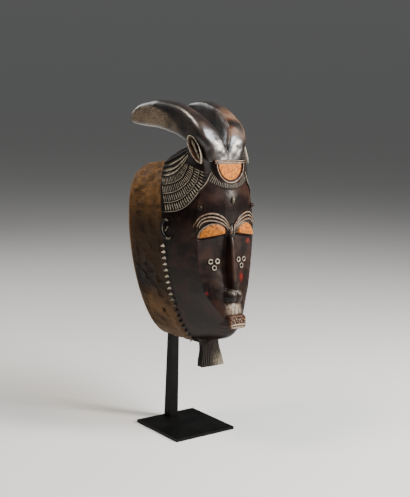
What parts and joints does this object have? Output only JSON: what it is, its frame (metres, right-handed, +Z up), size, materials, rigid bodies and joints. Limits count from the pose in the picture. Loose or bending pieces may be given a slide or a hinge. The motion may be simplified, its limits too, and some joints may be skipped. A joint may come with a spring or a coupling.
{
  "type": "horned face mask on a display stand",
  "caption": "Carved wooden face mask with swept-back horns, open and hollow at the back, held upright by a steel post on a square base plate.",
  "frame": {"origin": "middle of the underside of the stand's base plate, on the surface that it stands on", "axes": "+Z up, -Y the way the face looks, +X to the left side of the face"},
  "size_m": [0.145, 0.1901, 0.4637],
  "materials": {
    "carved_wood": "satin",
    "black_steel": "matte"
  },
  "bodies": {
    "root": {"mask": "carved_wood", "stand_plate": "black_steel", "stand_post": "black_steel", "stand_arm": "black_steel"}
  },
  "joints": []
}
